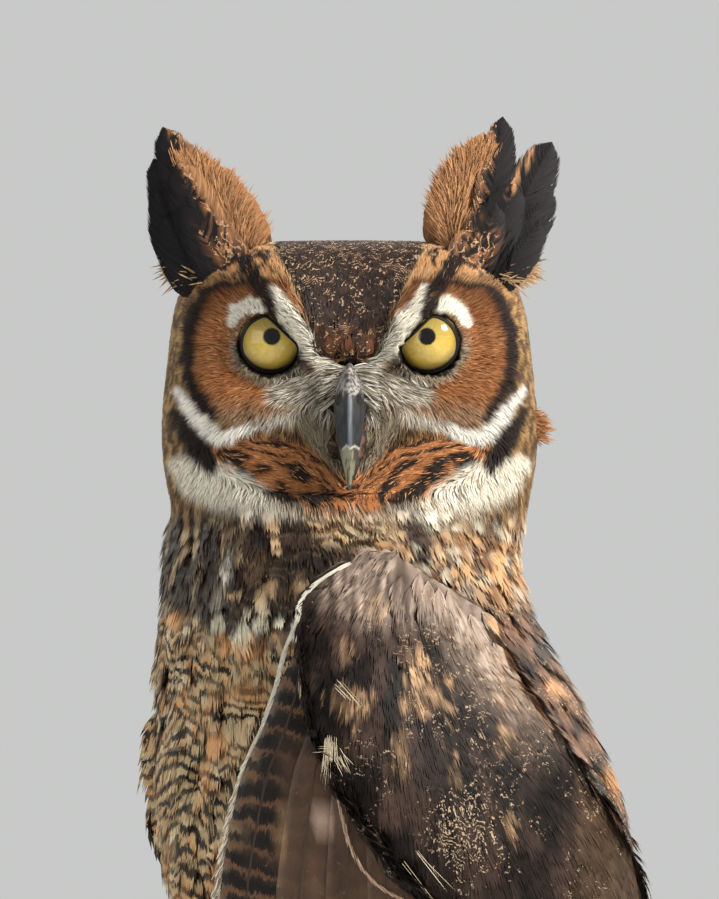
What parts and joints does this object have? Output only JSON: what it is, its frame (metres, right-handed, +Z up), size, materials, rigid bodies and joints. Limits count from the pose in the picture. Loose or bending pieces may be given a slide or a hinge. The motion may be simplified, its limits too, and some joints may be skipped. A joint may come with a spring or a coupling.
{
  "type": "great horned owl",
  "caption": "Life-size standing great horned owl, a still model: body, turned head, ear tufts, bill, eyes, drooped left wing, folded right wing, tail, feathered legs and talons.",
  "frame": {"origin": "on the floor, under the middle of the whole bird's box", "axes": "+Z up; the trunk's middle plane is parallel to YZ and the breast faces -Y, so +X is the bird's left; the head is turned to its left"},
  "size_m": [0.2132, 0.2206, 0.4892],
  "materials": {
    "head_plumage": "soft feathers, rufous face with white brows and a black-brown rim",
    "body_plumage": "soft feathers, dark brown, rufous and cream, barred below",
    "ear_tuft": "soft feathers, blackish with a buff-orange inner edge",
    "wing_coverts": "smooth feathers, dark brown with buff and grey vermiculation",
    "flight_feathers": "stiff barred vanes with pale edges",
    "leg_feathers": "short dense down-like feathers, buff",
    "horn": "smooth dark horn, slate at the base and pale at the tip",
    "eye": "clear wet dome over a yellow iris"
  },
  "bodies": {
    "root": {"head": "head_plumage", "neck": "body_plumage", "trunk": "body_plumage", "eye_left": "eye", "eye_right": "eye", "bill_upper": "horn", "bill_lower": "horn", "tuft_right": "ear_tuft", "tuft_left_inner": "ear_tuft", "tuft_left_outer": "ear_tuft", "wing_left_arm": "wing_coverts", "wing_left_secondaries": "flight_feathers", "wing_left_primaries": "flight_feathers", "wing_right_arm": "wing_coverts", "wing_right_secondaries": "flight_feathers", "wing_right_primaries": "flight_feathers", "tail": "flight_feathers", "thigh_left": "leg_feathers", "shank_left": "leg_feathers", "foot_left": "leg_feathers", "toe_left_inner": "leg_feathers", "talon_left_inner": "horn", "toe_left_middle": "leg_feathers", "talon_left_middle": "horn", "toe_left_outer": "leg_feathers", "talon_left_outer": "horn", "toe_left_hind": "leg_feathers", "talon_left_hind": "horn", "thigh_right": "leg_feathers", "shank_right": "leg_feathers", "foot_right": "leg_feathers", "toe_right_inner": "leg_feathers", "talon_right_inner": "horn", "toe_right_middle": "leg_feathers", "talon_right_middle": "horn", "toe_right_outer": "leg_feathers", "talon_right_outer": "horn", "toe_right_hind": "leg_feathers", "talon_right_hind": "horn"}
  },
  "joints": []
}
